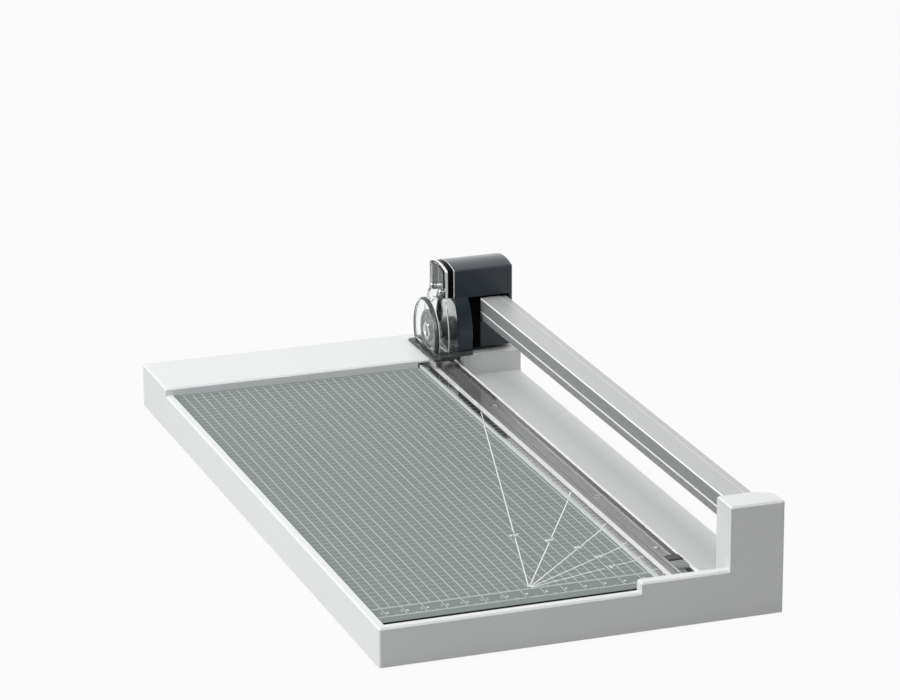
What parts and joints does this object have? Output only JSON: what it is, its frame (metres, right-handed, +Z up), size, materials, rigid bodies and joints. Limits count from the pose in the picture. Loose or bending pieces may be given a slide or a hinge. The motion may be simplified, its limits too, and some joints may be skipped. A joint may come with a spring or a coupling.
{
  "type": "rotary paper trimmer",
  "caption": "Flat-bed rolling paper trimmer: printed bed with fence and clear clamp strip, offcut tray, and a round-blade cutter head that slides on a rail between two posts.",
  "frame": {"origin": "on the table, under the middle of the base", "axes": "+X towards the rail and the offcut tray, +Y towards the paper fence, +Z up"},
  "size_m": [0.2054, 0.405, 0.0744],
  "materials": {
    "white_plastic": "fine satin moulding",
    "mat_grey": "printed matt sheet",
    "blade_steel": "ground steel",
    "rail_aluminium": "brushed and anodised",
    "dark_plastic": "satin moulding",
    "black_plastic": "satin moulding",
    "clear_plastic": "clear moulding",
    "white_nylon": "plain moulding",
    "screw_steel": "plated",
    "foot_rubber": "plain rubber"
  },
  "bodies": {
    "base": {"base_shell": "white_plastic", "cutting_mat": "mat_grey", "counter_blade": "blade_steel", "counter_blade_screws": "screw_steel", "clamp_guide_screws": "screw_steel", "clamp_guide_front": "black_plastic", "clamp_guide_rear": "black_plastic", "rail": "rail_aluminium", "rail_plug_front": "white_nylon", "rail_plug_rear": "white_nylon", "rail_screws": "screw_steel", "rail_end_cap": "white_plastic", "foot_front_left": "foot_rubber", "foot_front_right": "foot_rubber", "foot_rear_left": "foot_rubber", "foot_rear_right": "foot_rubber"},
    "cutter_head": {"carriage_housing": "dark_plastic", "slide_liner_front": "black_plastic", "slide_liner_rear": "black_plastic", "blade_guard": "dark_plastic", "blade_cover": "clear_plastic", "cover_seal": "black_plastic", "foot_skid": "dark_plastic", "blade_axle": "screw_steel", "axle_nut": "screw_steel", "thrust_washer": "screw_steel", "disc_spring": "screw_steel", "cover_screws": "screw_steel", "guard_screws": "screw_steel", "skid_screws": "screw_steel"},
    "blade_wheel": {"rotary_blade": "blade_steel", "blade_hub": "dark_plastic"},
    "paper_clamp": {"paper_clamp": "clear_plastic"}
  },
  "joints": [
    {"name": "carriage_slide", "type": "slide", "parent": "base", "child": "cutter_head", "axis": [0, -1, 0], "range_m": [0, 0.343]},
    {"name": "blade_spin", "type": "hinge", "parent": "cutter_head", "child": "blade_wheel", "pos_m": [0.0674, 0.17245, 0.0353], "axis": [1, 0, 0], "continuous": true},
    {"name": "clamp_lift", "type": "slide", "parent": "base", "child": "paper_clamp", "axis": [0, 0, 1], "range_m": [0, 0.0008]}
  ]
}
